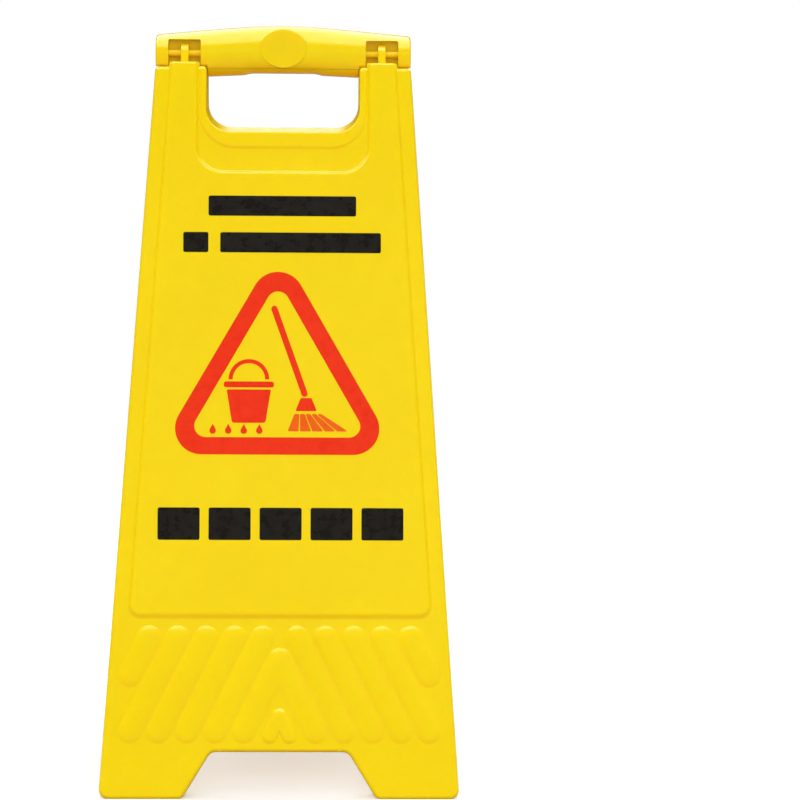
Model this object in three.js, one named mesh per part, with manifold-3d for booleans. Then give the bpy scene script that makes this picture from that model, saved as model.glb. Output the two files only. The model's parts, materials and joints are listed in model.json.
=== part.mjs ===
// A folding A-frame floor sign, in millimetres, +Z up, standing open on the floor.
//
// Two identical moulded panels hang from a hollow carrying handle. Each panel has two knuckles that turn on
// short pins held in the handle, one pair at the front and one at the back, so the panels swing apart at the
// foot. A panel's shoulders meet the handle's underside at the open angle, which is the stop. Cut-film
// graphics lie on the raised face of each panel. The origin is on the floor at the middle of the footprint,
// and the front panel faces -Y.
import * as THREE from "three";
import { mergeVertices } from "three/addons/utils/BufferGeometryUtils.js";
import Module from "manifold-3d";

const wasm = await Module();
wasm.setup();

// ---- Driving dimensions ----
const OPEN_ANGLE = THREE.MathUtils.degToRad(12.5); // each panel from the vertical
const HINGE_UP = 628; // foot edge to hinge axis, up the panel's face
const HINGE_OUT = 10.2; // hinge axis from the sign's middle plane
const FACE_OUT = 9.8; // panel face in front of its hinge axis
const PANEL_DEPTH = 17.8; // face to rim
const RIM = PANEL_DEPTH - FACE_OUT; // rim behind the hinge axis
const WALL = 2.4;
const HINGE_HEIGHT = HINGE_UP * Math.cos(OPEN_ANGLE) - FACE_OUT * Math.sin(OPEN_ANGLE);
const LARGE = 1000; // longer than anything here, for cutting

// Panel outline, x across and h up the face from the foot edge.
const FOOT_HALF_WIDTH = 150;
const TOP_HALF_WIDTH = 108;
const SHOULDER_UP = 615;
const TAB_UP = 618.5; // the arm's raised face stands above the shoulder
const TAB_INNER = 72.5;
const TAB_OUTER = 94.3;
const MOUTH_HALF_WIDTH = 64.5; // the hand opening
const MOUTH_UP = 559.5;
const MOUTH_RADIUS = 20;
const ARCH_UP = 39; // the notch between the feet
const ARCH_HALF_WIDTH = 57;
const ARCH_FOOT_HALF_WIDTH = 81;
const SIDE_SLOPE = (FOOT_HALF_WIDTH - TOP_HALF_WIDTH) / SHOULDER_UP;

// Raised message face, the low tray above it, and the lip round the hand opening.
const MESSAGE_RAISE = 2;
const MESSAGE_LOW = 153.7;
const MESSAGE_MARGIN = 14; // in from the panel's side
const TRAY_LOW = 525;
const TRAY_RADIUS = 22;
const LIP_RAISE = 1.3;
const LIP_SIDE = 6;
const LIP_LOW = 14;

// Chevron ribs between the message face and the feet.
const RIB_RAISE = 2.2;
const RIB_HALF_WIDTH = 6.2;
const RIB_LEAN = THREE.MathUtils.degToRad(26.8);
const RIB_PITCH = 23.6;
const RIB_LOW = 51;
const RIB_HIGH = 139;
const RIB_OUTER_X = 127;
const RIBS_PER_SIDE = 6;

// Stiffeners moulded on the back of the face.
const STIFFENER_THICKNESS = 2;
const STIFFENER_ROOT = 0.2; // behind the face, inside the wall
const STIFFENER_DEPTH = 11;
const STIFFENERS_UP = [247, 340, 433];
const STIFFENERS_ACROSS = [-50, 50];

// Hinges.
const KNUCKLE_X = 83.4;
const KNUCKLE_WIDTH = 6.5;
const KNUCKLE_RADIUS = 8.3;
const KNUCKLE_BORE = 3.3;
const KNUCKLE_ROOT = 38; // how far its web runs down inside the arm
const PIN_RADIUS = 3;
const PIN_HOLE_RADIUS = 3.15;
const PIN_INNER = 64.3;
const PIN_OUTER = 107.2;
const PIN_HOLE_INNER = 63.8;
const PIN_CHAMFER = 0.6;

// Handle, with heights measured from the hinge axis.
const HANDLE_HALF_LENGTH = 108;
const HANDLE_HALF_DEPTH = 20;
const GRIP_TOP = 23.2;
const GRIP_TOP_END = 15.1;
const GRIP_TOP_BLEND = 0.25; // roundness of the grip's crown
const GRIP_BOTTOM = -17.2; // in the finger recess
const GRIP_BOTTOM_STEP = -18.9; // just outside it
const GRIP_BOTTOM_END = -20.2;
const FINGER_RECESS = [27, 35]; // the underside steps down between these
const SECTION_POWER = 2.6; // of the section's superellipse
const SECTION_POINTS = 20;
const GRIP_STEP = 9; // length of its facets
const GRIP_HALF_LENGTH = 63; // the deep part between the arms
const END_UNDERSIDE = -11.2; // the open stop
const HANDLE_WALL = 3;
const CAVITY_HALF_LENGTH = 60;
const POCKET_INNER = 69.8;
const POCKET_OUTER = 97.2;
const POCKET_ROOF = 11.5;
const POCKET_WEB = 1.4; // half the wall between the front and back pockets
const PARTING = -12.5;
const PARTING_GAP = 0.15; // half the gap between the shell and its cover
const PAD_HALF_WIDTH = 20;
const PAD_HALF_HEIGHT = 16.5;
const PAD_MIDDLE = 4.7;
const PAD_HALF_DEPTH = 21;
const LIP_HEIGHT = 1.6; // the cover's locating lip
const LIP_WALL = 1.8;
const LIP_HALF_LENGTH = 59.6;
const LIP_HALF_WIDTH = 10;

// Screws that hold the cover.
const SCREW_X = 53;
const SCREW_SEAT = -15.6;
const SCREW_TIP = -3.5;
const SCREW_SHANK = 1.5;
const SCREW_HEAD = 3.4;
const SCREW_HEAD_HEIGHT = 1.9;
const SCREW_SLOT = [0.9, 0.9]; // width, and metal left above it
const SCREW_GAP = 0.1;
const SCREW_HOLE = 1.8;
const SCREW_BORE = 1.7;
const SCREW_BORE_TOP = -2.5;
const SCREW_BOSS = 4.5;
const COUNTERBORE = 4.1;
const ROUND_SIDES = 16;

// Cut-film graphics, x across and h up the face.
const FILM = 0.3;
const ADHESIVE = 0.2;
const TRIANGLE_SIDE = 203; // between sharp corners
const TRIANGLE_RADIUS = 22;
const TRIANGLE_INNER_RADIUS = 10;
const TRIANGLE_BAND = 14.5;
const TRIANGLE_LOW = 286.4;
const BUCKET = {
  x: -24,
  low: 313,
  high: 342,
  baseHalf: 14,
  rimHalf: 21,
  rimHeight: 5,
  bailRadius: 17,
  bailWidth: 3.2,
};
const MOP = {
  top: [-3, 409],
  socket: [24, 332],
  poleHalf: 2.6,
  socketTopHalf: 4.5,
  socketHalf: 9,
  socketLow: 322.5,
  headHigh: 320.5,
  headLow: 306,
  headLeft: 9,
  headRight: 58,
};
const SPLASHES_X = [-54, -39, -24, -9];
const SPLASH_UP = 307;
const SPLASH_RADIUS = 2.7;
const HEADLINE_HEIGHT = 17;
const HEADLINE_BARS = [
  [-62, 62, 496],
  [-83, -62, 465],
  [-52, 83, 465],
]; // left, right, height of the middle
const LOWER_BAR_WIDTH = 35;
const LOWER_BAR_HEIGHT = 27;
const LOWER_BARS_UP = 228.5;
const LOWER_BARS_X = [-85, -42.5, 0, 42.5, 85];

// ---- Materials ----
const plastic = new THREE.MeshStandardMaterial({ color: 0xf8da14, roughness: 0.42, metalness: 0 });
const redFilm = new THREE.MeshStandardMaterial({ color: 0xee3c10, roughness: 0.4, metalness: 0 });
const orangeFilm = new THREE.MeshStandardMaterial({ color: 0xf3600e, roughness: 0.4, metalness: 0 });
const blackFilm = new THREE.MeshStandardMaterial({ color: 0x17140f, roughness: 0.4, metalness: 0 });
const zincSteel = new THREE.MeshStandardMaterial({ color: 0xb9babb, roughness: 0.35, metalness: 1 });

// ---- Outlines ----

// A closed shape from corners [x, y, radius]: straight edges joined by tangent arcs.
function rounded(corners, Type = THREE.Shape) {
  const path = new Type();
  const count = corners.length;
  corners.forEach(([x, y, radius], i) => {
    const corner = new THREE.Vector2(x, y);
    const back = new THREE.Vector2(...corners[(i + count - 1) % count]).sub(corner).normalize();
    const on = new THREE.Vector2(...corners[(i + 1) % count]).sub(corner).normalize();
    const halfAngle = Math.acos(THREE.MathUtils.clamp(back.dot(on), -1, 1)) / 2;
    const toTangent = radius / Math.tan(halfAngle);
    const start = corner.clone().addScaledVector(back, toTangent);
    const end = corner.clone().addScaledVector(on, toTangent);
    const middle = back.clone().add(on).normalize();
    const centre = corner.clone().addScaledVector(middle, radius / Math.sin(halfAngle));
    const clockwise = back.cross(on) > 0;
    if (i === 0) path.moveTo(start.x, start.y);
    path.absarc(
      centre.x,
      centre.y,
      radius,
      start.sub(centre).angle(),
      end.sub(centre).angle(),
      clockwise,
    );
  });
  path.closePath();
  return path;
}

// The corners of an outline moved inwards. Corners run anticlockwise; a hollow corner's radius grows.
function inset(corners, distance) {
  const count = corners.length;
  const edges = corners.map(([x, y], i) => {
    const [nextX, nextY] = corners[(i + 1) % count];
    const along = new THREE.Vector2(nextX - x, nextY - y).normalize();
    const inward = new THREE.Vector2(-along.y, along.x);
    return { along, inward, offset: inward.x * x + inward.y * y + distance };
  });
  return corners.map(([, , radius], i) => {
    const before = edges[(i + count - 1) % count];
    const after = edges[i];
    const turn = before.along.cross(after.along);
    const x = (before.offset * after.inward.y - after.offset * before.inward.y) / turn;
    const y = (before.inward.x * after.offset - after.inward.x * before.offset) / turn;
    return [x, y, Math.max(turn > 0 ? radius - distance : radius + distance, 0.4)];
  });
}

const mirrored = (right) => [...right, ...right.map(([x, y, radius]) => [-x, y, radius]).reverse()];

const sideAt = (h) => FOOT_HALF_WIDTH - SIDE_SLOPE * h;

// Right half from the arch round to the hand opening; the left half mirrors it.
const PANEL_CORNERS = mirrored([
  [ARCH_HALF_WIDTH, ARCH_UP, 8],
  [ARCH_FOOT_HALF_WIDTH, 0, 7],
  [FOOT_HALF_WIDTH, 0, 8],
  [TOP_HALF_WIDTH, SHOULDER_UP, 3],
  [TAB_OUTER + 1, SHOULDER_UP, 0.8],
  [TAB_OUTER, TAB_UP, 1.5],
  [TAB_INNER, TAB_UP, 1.5],
  [TAB_INNER - 1, SHOULDER_UP, 0.8],
  [MOUTH_HALF_WIDTH, SHOULDER_UP, 2],
  [MOUTH_HALF_WIDTH, MOUTH_UP, MOUTH_RADIUS],
]);
const MESSAGE_CORNERS = mirrored([
  [sideAt(MESSAGE_LOW) - MESSAGE_MARGIN, MESSAGE_LOW, 8],
  [TAB_OUTER, TAB_UP, 1.5],
  [TAB_INNER, TAB_UP, 1.5],
  [TAB_INNER, TRAY_LOW, TRAY_RADIUS],
]);
const LIP_CORNERS = mirrored([
  [MOUTH_HALF_WIDTH + LIP_SIDE, MOUTH_UP - LIP_LOW, MOUTH_RADIUS + 6],
  [MOUTH_HALF_WIDTH + LIP_SIDE, SHOULDER_UP, 2],
  [MOUTH_HALF_WIDTH, SHOULDER_UP, 2],
  [MOUTH_HALF_WIDTH, MOUTH_UP, MOUTH_RADIUS],
]);

function bar(centreX, centreY, width, height, radius = 2.5) {
  const [x, y] = [width / 2, height / 2];
  return rounded([
    [centreX - x, centreY - y, radius],
    [centreX + x, centreY - y, radius],
    [centreX + x, centreY + y, radius],
    [centreX - x, centreY + y, radius],
  ]);
}

// A rounded bar from one point to another.
function stadium([x0, y0], [x1, y1], halfWidth) {
  const angle = Math.atan2(y1 - y0, x1 - x0);
  const shape = new THREE.Shape();
  shape.absarc(x1, y1, halfWidth, angle - Math.PI / 2, angle + Math.PI / 2, false);
  shape.absarc(x0, y0, halfWidth, angle + Math.PI / 2, angle + (3 * Math.PI) / 2, false);
  shape.closePath();
  return shape;
}

// ---- Solids ----
const ARC_STEPS = 2; // three.js makes twice this many edges of each arc

function solid(geometry) {
  geometry.deleteAttribute("normal");
  geometry.deleteAttribute("uv");
  const merged = mergeVertices(geometry, 1e-3);
  return new wasm.Manifold(
    new wasm.Mesh({
      numProp: 3,
      vertProperties: merged.attributes.position.array,
      triVerts: new Uint32Array(merged.index.array),
    }),
  );
}

// A shape drawn on the panel's face as a slab from n0 to n1, n being the way out of the face. The result is
// in the panel's own frame: hinge axis at the origin, closed panel upright, face towards -Y.
function slab(shape, n0, n1) {
  const geometry = new THREE.ExtrudeGeometry(shape, {
    depth: n1 - n0,
    bevelEnabled: false,
    curveSegments: ARC_STEPS,
  });
  geometry.translate(0, 0, n0);
  geometry.rotateX(Math.PI / 2);
  geometry.translate(0, -FACE_OUT, -HINGE_UP);
  return solid(geometry);
}

function box(x0, x1, y0, y1, z0, z1) {
  const geometry = new THREE.BoxGeometry(x1 - x0, y1 - y0, z1 - z0);
  geometry.translate((x0 + x1) / 2, (y0 + y1) / 2, (z0 + z1) / 2);
  return solid(geometry);
}

// A round bar along X.
function rodX(x0, x1, radius, y = 0) {
  const geometry = new THREE.CylinderGeometry(radius, radius, x1 - x0, ROUND_SIDES);
  geometry.rotateZ(Math.PI / 2);
  geometry.translate((x0 + x1) / 2, y, 0);
  return solid(geometry);
}

// A round bar along Z.
function rodZ(radius, x, z0, z1) {
  const geometry = new THREE.CylinderGeometry(radius, radius, z1 - z0, ROUND_SIDES);
  geometry.rotateX(Math.PI / 2);
  geometry.translate(x, 0, (z0 + z1) / 2);
  return solid(geometry);
}

const joined = (solids) => solids.reduce((whole, piece) => whole.add(piece));

function meshOf(name, shape, material) {
  const { numProp, numVert, vertProperties, triVerts } = shape.getMesh();
  const positions = new Float32Array(numVert * 3);
  for (let i = 0; i < numVert; i++) {
    positions.set(vertProperties.subarray(i * numProp, i * numProp + 3), i * 3);
  }
  const geometry = new THREE.BufferGeometry();
  geometry.setAttribute("position", new THREE.BufferAttribute(positions, 3));
  geometry.setIndex(new THREE.BufferAttribute(triVerts, 1));
  geometry.computeVertexNormals();
  const mesh = new THREE.Mesh(geometry, material);
  mesh.name = name;
  return mesh;
}

// ---- Panel ----

// Each rib leans in towards the middle, where the inner ones meet their mirror image. One short rib outside
// the others fills the upper corner.
function ribEnds() {
  const lean = Math.tan(RIB_LEAN);
  const ends = [];
  for (let i = 0; i < RIBS_PER_SIDE; i++) {
    const lowX = RIB_OUTER_X - RIB_PITCH * i;
    const highX = Math.max(lowX - lean * (RIB_HIGH - RIB_LOW), 0);
    ends.push([[lowX, RIB_LOW], [highX, RIB_LOW + (lowX - highX) / lean]]);
  }
  const shortLow = RIB_LOW + RIB_PITCH / lean;
  const shortHighX = RIB_OUTER_X - lean * (RIB_HIGH - shortLow);
  ends.push([[RIB_OUTER_X, shortLow], [shortHighX, RIB_HIGH]]);
  return ends;
}

function chevrons() {
  const mirror = ([x, h]) => [-x, h];
  const ribs = ribEnds().flatMap(([low, high]) => [
    stadium(low, high, RIB_HALF_WIDTH),
    stadium(mirror(low), mirror(high), RIB_HALF_WIDTH),
  ]);
  return joined(ribs.map((rib) => slab(rib, -WALL / 2, RIB_RAISE)));
}

// A ring round the pin on a broad foot, and a web down the inside of the arm.
function knuckle(x) {
  const x0 = x - KNUCKLE_WIDTH / 2;
  const x1 = x + KNUCKLE_WIDTH / 2;
  const tabTop = TAB_UP - HINGE_UP;
  const ring = rodX(x0, x1, KNUCKLE_RADIUS);
  const foot = box(x0, x1, -KNUCKLE_RADIUS, KNUCKLE_RADIUS, tabTop - WALL / 2, 0);
  const web = box(x0, x1, -FACE_OUT, RIM - WALL, tabTop - KNUCKLE_ROOT, tabTop - WALL / 2);
  return ring.add(foot).add(web);
}

// Ribs moulded across and up the back of the face, ending inside the panel's walls.
function stiffeners() {
  const half = STIFFENER_THICKNESS / 2;
  const y0 = -FACE_OUT + STIFFENER_ROOT;
  const y1 = y0 + STIFFENER_DEPTH;
  const low = ARCH_UP + WALL / 2 - HINGE_UP;
  const high = MOUTH_UP - WALL / 2 - HINGE_UP;
  const across = STIFFENERS_UP.map((h) => {
    const reach = sideAt(h) - WALL / 2;
    return box(-reach, reach, y0, y1, h - half - HINGE_UP, h + half - HINGE_UP);
  });
  const up = STIFFENERS_ACROSS.map((x) => box(x - half, x + half, y0, y1, low, high));
  return joined([...across, ...up]);
}

// Everything under the floor of the open sign, or under a height above it, in the panel's own frame.
function underFloor(rise = 0) {
  const geometry = new THREE.BoxGeometry(2 * LARGE, 2 * LARGE, LARGE);
  geometry.translate(0, 0, rise - LARGE / 2);
  geometry.rotateX(OPEN_ANGLE);
  geometry.translate(0, -FACE_OUT, -HINGE_UP);
  return solid(geometry);
}

// A tray moulding: its walls stand all round the back of the face, and its feet are cut to lie on the floor.
function panelSolid() {
  const hollow = slab(rounded(inset(PANEL_CORNERS, WALL)), -PANEL_DEPTH - 1, -WALL);
  const messageHollow = slab(rounded(inset(MESSAGE_CORNERS, WALL)), -WALL - 1, MESSAGE_RAISE - WALL);
  return slab(rounded(PANEL_CORNERS), -PANEL_DEPTH, 0)
    .add(slab(rounded(MESSAGE_CORNERS), -WALL / 2, MESSAGE_RAISE))
    .add(slab(rounded(LIP_CORNERS), -WALL / 2, LIP_RAISE))
    .add(chevrons())
    .subtract(hollow.subtract(underFloor(WALL)))
    .subtract(messageHollow)
    .add(stiffeners())
    .add(knuckle(KNUCKLE_X))
    .add(knuckle(-KNUCKLE_X))
    .subtract(rodX(-LARGE, LARGE, KNUCKLE_BORE))
    .subtract(underFloor());
}

// ---- Graphics ----

// A triangle standing on its base, as three corners.
function triangle(side, low, radius) {
  const height = (side * Math.sqrt(3)) / 2;
  return [
    [-side / 2, low, radius],
    [side / 2, low, radius],
    [0, low + height, radius],
  ];
}

function warningTriangle() {
  const innerSide = TRIANGLE_SIDE - 2 * Math.sqrt(3) * TRIANGLE_BAND;
  const shape = rounded(triangle(TRIANGLE_SIDE, TRIANGLE_LOW, TRIANGLE_RADIUS));
  const hole = triangle(innerSide, TRIANGLE_LOW + TRIANGLE_BAND, TRIANGLE_INNER_RADIUS);
  shape.holes.push(rounded(hole, THREE.Path));
  return film(shape);
}

const film = (shape) => slab(shape, MESSAGE_RAISE + ADHESIVE, MESSAGE_RAISE + ADHESIVE + FILM);

// A tapered pail with a rim and an arched bail, set off to one side of the triangle's middle.
function bucket() {
  const { x, low, high, baseHalf, rimHalf, rimHeight, bailRadius, bailWidth } = BUCKET;
  const body = rounded([
    [x - baseHalf, low, 2],
    [x + baseHalf, low, 2],
    [x + rimHalf - 3, high, 1],
    [x - rimHalf + 3, high, 1],
  ]);
  const bail = new THREE.Shape();
  bail.absarc(x, high, bailRadius, 0, Math.PI, false);
  bail.absarc(x, high, bailRadius - bailWidth, Math.PI, 0, true);
  bail.closePath();
  const rim = bar(x, high + rimHeight / 2, 2 * rimHalf, rimHeight, 1.5);
  return film(body).add(film(bail)).add(film(rim));
}

// The mop's pole and the socket it stands in.
function mopPole() {
  const { top, socket, poleHalf, socketTopHalf, socketHalf, socketLow } = MOP;
  const pole = stadium(top, socket, poleHalf);
  const [x, high] = socket;
  const cup = rounded([
    [x - socketHalf, socketLow, 1],
    [x + socketHalf, socketLow, 1],
    [x + socketTopHalf, high, 1],
    [x - socketTopHalf, high, 1],
  ]);
  return film(pole).add(film(cup));
}

// The mop's strands, spread on the floor.
function mopHead() {
  const { socket, socketHalf, headHigh, headLow, headLeft, headRight } = MOP;
  const [x] = socket;
  return film(
    rounded([
      [headLeft, headLow, 2],
      [headRight, headLow, 2],
      [x + socketHalf + 4, headHigh, 3],
      [x - socketHalf - 1, headHigh, 1.5],
    ]),
  );
}

function splash(x) {
  const shape = new THREE.Shape();
  shape.absarc(x, SPLASH_UP, SPLASH_RADIUS, 0, 2 * Math.PI, false);
  return film(shape);
}

// Plain bars stand where a sign carries its wording.
function headlineBars() {
  return HEADLINE_BARS.map(([x0, x1, h]) => film(bar((x0 + x1) / 2, h, x1 - x0, HEADLINE_HEIGHT)));
}

function lowerBars() {
  return LOWER_BARS_X.map((x) => film(bar(x, LOWER_BARS_UP, LOWER_BAR_WIDTH, LOWER_BAR_HEIGHT)));
}

// ---- Handle ----

const gripTop = (x) => {
  const ramp = (t) => Math.hypot(t, GRIP_TOP_BLEND) - GRIP_TOP_BLEND;
  return GRIP_TOP - ((GRIP_TOP - GRIP_TOP_END) * ramp(x / HANDLE_HALF_LENGTH)) / ramp(1);
};
const gripBottom = (x) => {
  const { lerp, smoothstep } = THREE.MathUtils;
  const [recess, step] = FINGER_RECESS;
  const outside = THREE.MathUtils.clamp((Math.abs(x) - step) / (GRIP_HALF_LENGTH - step), 0, 1);
  const outer = lerp(GRIP_BOTTOM_STEP, GRIP_BOTTOM_END, outside);
  return lerp(GRIP_BOTTOM, outer, smoothstep(Math.abs(x), recess, step));
};

// The grip's outer form, or the same form smaller all round by a wall.
function gripForm(halfLength, wall) {
  const section = Array.from({ length: SECTION_POINTS }, (_, i) => {
    const angle = (2 * Math.PI * i) / SECTION_POINTS;
    const rounding = (value) => Math.sign(value) * Math.abs(value) ** (2 / SECTION_POWER);
    return new THREE.Vector2(rounding(Math.cos(angle)), rounding(Math.sin(angle)));
  });
  const geometry = new THREE.ExtrudeGeometry(new THREE.Shape(section), {
    depth: 2 * halfLength,
    steps: Math.round((2 * halfLength) / GRIP_STEP),
    bevelEnabled: false,
  });
  const { position } = geometry.attributes;
  for (let i = 0; i < position.count; i++) {
    const x = position.getZ(i) - halfLength;
    const up = position.getY(i);
    const reach = up > 0 ? gripTop(x) - wall : -gripBottom(x) - wall;
    position.setXYZ(i, x, position.getX(i) * (HANDLE_HALF_DEPTH - wall), up * reach);
  }
  return solid(geometry);
}

// The blank oval pad, standing proud of both sides of the grip.
function pad() {
  const ellipse = new THREE.Shape();
  ellipse.absellipse(0, PAD_MIDDLE, PAD_HALF_WIDTH, PAD_HALF_HEIGHT, 0, 2 * Math.PI, false, 0);
  const geometry = new THREE.ExtrudeGeometry(ellipse, {
    depth: 2 * PAD_HALF_DEPTH,
    bevelEnabled: false,
    curveSegments: SECTION_POINTS / 2,
  });
  geometry.rotateX(Math.PI / 2);
  geometry.translate(0, PAD_HALF_DEPTH, 0);
  return solid(geometry);
}

// Where a panel's knuckle and tab swing: open to the front and below, or to the back and below.
function pocket(side, end) {
  const xs = [end * POCKET_INNER, end * POCKET_OUTER].sort((a, b) => a - b);
  const ys = [side * POCKET_WEB, side * LARGE].sort((a, b) => a - b);
  return box(...xs, ...ys, -LARGE, POCKET_ROOF);
}

const both = [-1, 1];

function pockets() {
  return joined(both.flatMap((side) => both.map((end) => pocket(side, end))));
}

function pinHoles() {
  return joined(
    both.flatMap((side) =>
      both.map((end) => {
        const xs = [end * PIN_HOLE_INNER, end * LARGE].sort((a, b) => a - b);
        return rodX(...xs, PIN_HOLE_RADIUS, side * HINGE_OUT);
      }),
    ),
  );
}

const above = (z) => box(-LARGE, LARGE, -LARGE, LARGE, z, LARGE);
const below = (z) => box(-LARGE, LARGE, -LARGE, LARGE, -LARGE, z);

function upperShell() {
  const outer = gripForm(HANDLE_HALF_LENGTH, 0);
  const cavity = gripForm(CAVITY_HALF_LENGTH, HANDLE_WALL);
  const underEnds = both.map((end) => {
    const xs = [end * GRIP_HALF_LENGTH, end * LARGE].sort((a, b) => a - b);
    return box(...xs, -LARGE, LARGE, -LARGE, END_UNDERSIDE);
  });
  const bosses = both.map((end) => rodZ(SCREW_BOSS, end * SCREW_X, PARTING, GRIP_TOP));
  const bores = both.map((end) => rodZ(SCREW_BORE, end * SCREW_X, PARTING - 1, SCREW_BORE_TOP));
  return outer
    .add(pad())
    .subtract(cavity)
    .add(joined(bosses).intersect(outer))
    .subtract(joined(bores))
    .subtract(pockets())
    .subtract(pinHoles())
    .subtract(joined(underEnds))
    .intersect(above(PARTING + PARTING_GAP));
}

// A shallow dish that closes the grip from below, with a lip that locates it inside the shell.
function lowerCover() {
  const outer = gripForm(GRIP_HALF_LENGTH, 0);
  const cavity = gripForm(CAVITY_HALF_LENGTH, HANDLE_WALL);
  const lipPlan = (inset) => {
    const [length, width] = [LIP_HALF_LENGTH - inset, LIP_HALF_WIDTH - inset];
    return [-length, length, -width, width];
  };
  const lip = box(...lipPlan(0), -LARGE, PARTING + LIP_HEIGHT)
    .subtract(box(...lipPlan(LIP_WALL), -LARGE, LARGE))
    .intersect(gripForm(CAVITY_HALF_LENGTH, HANDLE_WALL / 2).add(above(PARTING)));
  const posts = both.map((end) => rodZ(SCREW_BOSS, end * SCREW_X, SCREW_SEAT - 1, PARTING - PARTING_GAP));
  const holes = both.map((end) => rodZ(SCREW_HOLE, end * SCREW_X, -LARGE, LARGE));
  const counterbores = both.map((end) => rodZ(COUNTERBORE, end * SCREW_X, -LARGE, SCREW_SEAT));
  return outer
    .subtract(cavity)
    .intersect(below(PARTING - PARTING_GAP))
    .add(lip)
    .add(joined(posts))
    .subtract(joined(holes))
    .subtract(joined(counterbores));
}

// A pan-headed screw, point up, whose head seats in the cover's counterbore.
function coverScrew() {
  const headTop = SCREW_SEAT - SCREW_GAP;
  const geometry = new THREE.LatheGeometry(
    [
      [0, headTop - SCREW_HEAD_HEIGHT],
      [SCREW_HEAD - 0.9, headTop - SCREW_HEAD_HEIGHT],
      [SCREW_HEAD, headTop - SCREW_HEAD_HEIGHT + 0.9],
      [SCREW_HEAD, headTop],
      [SCREW_SHANK, headTop],
      [SCREW_SHANK, SCREW_TIP - 2],
      [0, SCREW_TIP],
    ].map(([r, z]) => new THREE.Vector2(r, z)),
    ROUND_SIDES,
  );
  geometry.rotateX(Math.PI / 2);
  const slot = box(-SCREW_SLOT[0] / 2, SCREW_SLOT[0] / 2, -LARGE, LARGE, -LARGE, headTop - SCREW_SLOT[1]);
  return solid(geometry).subtract(slot);
}

// A hinge pin with a chamfer at each end, lying along X.
function hingePin() {
  const half = (PIN_OUTER - PIN_INNER) / 2;
  const geometry = new THREE.LatheGeometry(
    [
      [0, -half],
      [PIN_RADIUS - PIN_CHAMFER, -half],
      [PIN_RADIUS, -half + PIN_CHAMFER],
      [PIN_RADIUS, half - PIN_CHAMFER],
      [PIN_RADIUS - PIN_CHAMFER, half],
      [0, half],
    ].map(([r, along]) => new THREE.Vector2(r, along)),
    ROUND_SIDES,
  );
  geometry.rotateZ(Math.PI / 2);
  return solid(geometry);
}

// ---- Assembly ----

// A panel with its graphics, hung on its hinge and swung out to the open angle.
function panel(name) {
  const group = new THREE.Group();
  group.add(meshOf(`${name}_panel`, panelSolid(), plastic));
  group.add(meshOf(`${name}_warning_triangle`, warningTriangle(), redFilm));
  group.add(meshOf(`${name}_bucket_symbol`, bucket(), redFilm));
  group.add(meshOf(`${name}_mop_pole_symbol`, mopPole(), redFilm));
  group.add(meshOf(`${name}_mop_head_symbol`, mopHead(), orangeFilm));
  SPLASHES_X.forEach((x, i) => group.add(meshOf(`${name}_splash_symbol_${i + 1}`, splash(x), redFilm)));
  headlineBars().forEach((shape, i) => group.add(meshOf(`${name}_headline_bar_${i + 1}`, shape, blackFilm)));
  lowerBars().forEach((shape, i) => group.add(meshOf(`${name}_lower_bar_${i + 1}`, shape, blackFilm)));
  group.position.set(0, -HINGE_OUT, HINGE_HEIGHT);
  group.rotation.x = -OPEN_ANGLE;
  return group;
}

function handle() {
  const group = new THREE.Group();
  group.add(meshOf("handle_upper_shell", upperShell(), plastic));
  group.add(meshOf("handle_lower_cover", lowerCover(), plastic));
  for (const [end, endName] of [[-1, "left"], [1, "right"]]) {
    const screw = meshOf(`cover_screw_${endName}`, coverScrew(), zincSteel);
    screw.position.x = end * SCREW_X;
    group.add(screw);
    for (const [side, sideName] of [[-1, "front"], [1, "rear"]]) {
      const pin = meshOf(`hinge_pin_${sideName}_${endName}`, hingePin(), plastic);
      pin.position.set((end * (PIN_INNER + PIN_OUTER)) / 2, side * HINGE_OUT, 0);
      group.add(pin);
    }
  }
  group.position.z = HINGE_HEIGHT;
  return group;
}

const sign = new THREE.Group();
const rear = new THREE.Group();
rear.rotation.z = Math.PI;
rear.add(panel("rear"));
sign.add(panel("front"), rear, handle());

export default sign;
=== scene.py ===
"""A folding A-frame floor sign of moulded yellow plastic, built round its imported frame."""
import json
import math

import bmesh
import bpy
import numpy as np
from mathutils import Matrix, Vector


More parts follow.
